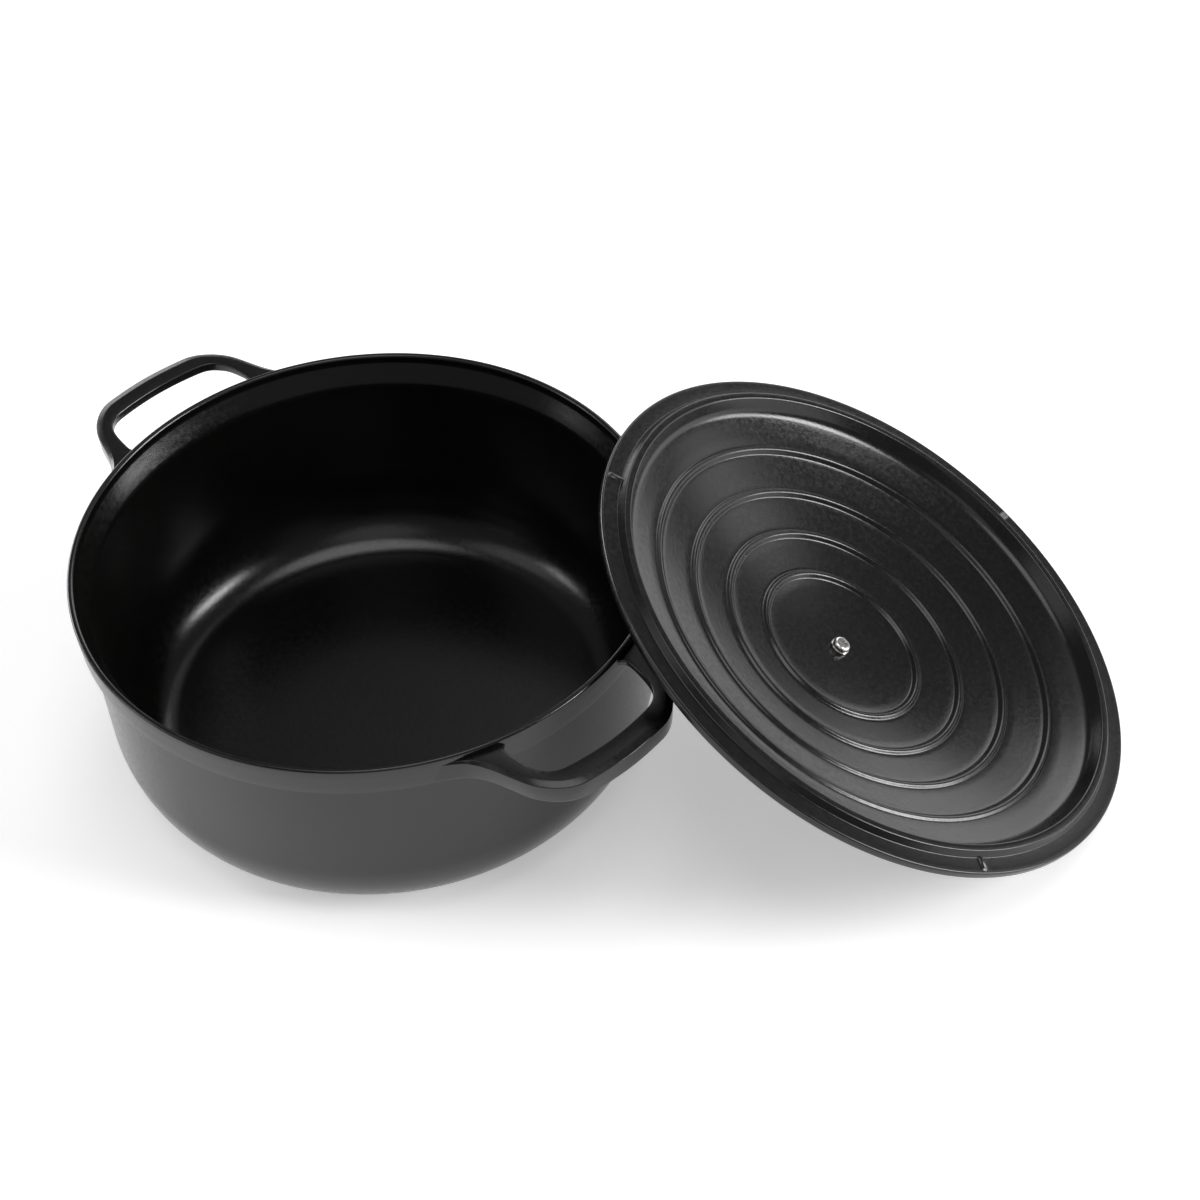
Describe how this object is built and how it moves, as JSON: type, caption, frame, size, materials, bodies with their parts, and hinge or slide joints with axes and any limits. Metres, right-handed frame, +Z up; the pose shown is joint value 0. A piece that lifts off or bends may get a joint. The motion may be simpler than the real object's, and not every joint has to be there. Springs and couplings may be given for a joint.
{
  "type": "cast iron dutch oven",
  "caption": "Round black cast iron dutch oven with two loop handles and a separate domed lid, shown turned over and leaning on the rim.",
  "frame": {"origin": "centre of the pot's flat base, on the worktop", "axes": "+Z up along the pot's axis; +X along the pot's handle axis; the lid leans on the rim between +X and +Y"},
  "size_m": [0.5029, 0.4514, 0.1547],
  "materials": {
    "cast_iron": "black seasoned casting, fine orange-peel grain, satin",
    "knob_black": "black heat-resistant moulded resin, satin gloss",
    "brass": "turned brass",
    "steel": "stainless steel, turned"
  },
  "bodies": {
    "pot": {"pot": "cast_iron"},
    "lid": {"lid": "cast_iron", "knob": "knob_black", "knob_insert": "brass", "knob_base": "steel", "knob_screw": "steel", "screw_washer": "steel"}
  },
  "joints": [
    {"name": "lid_lift", "type": "slide", "parent": "pot", "child": "lid", "axis": [0, 0, 1], "range_m": [0, 0.25]}
  ]
}
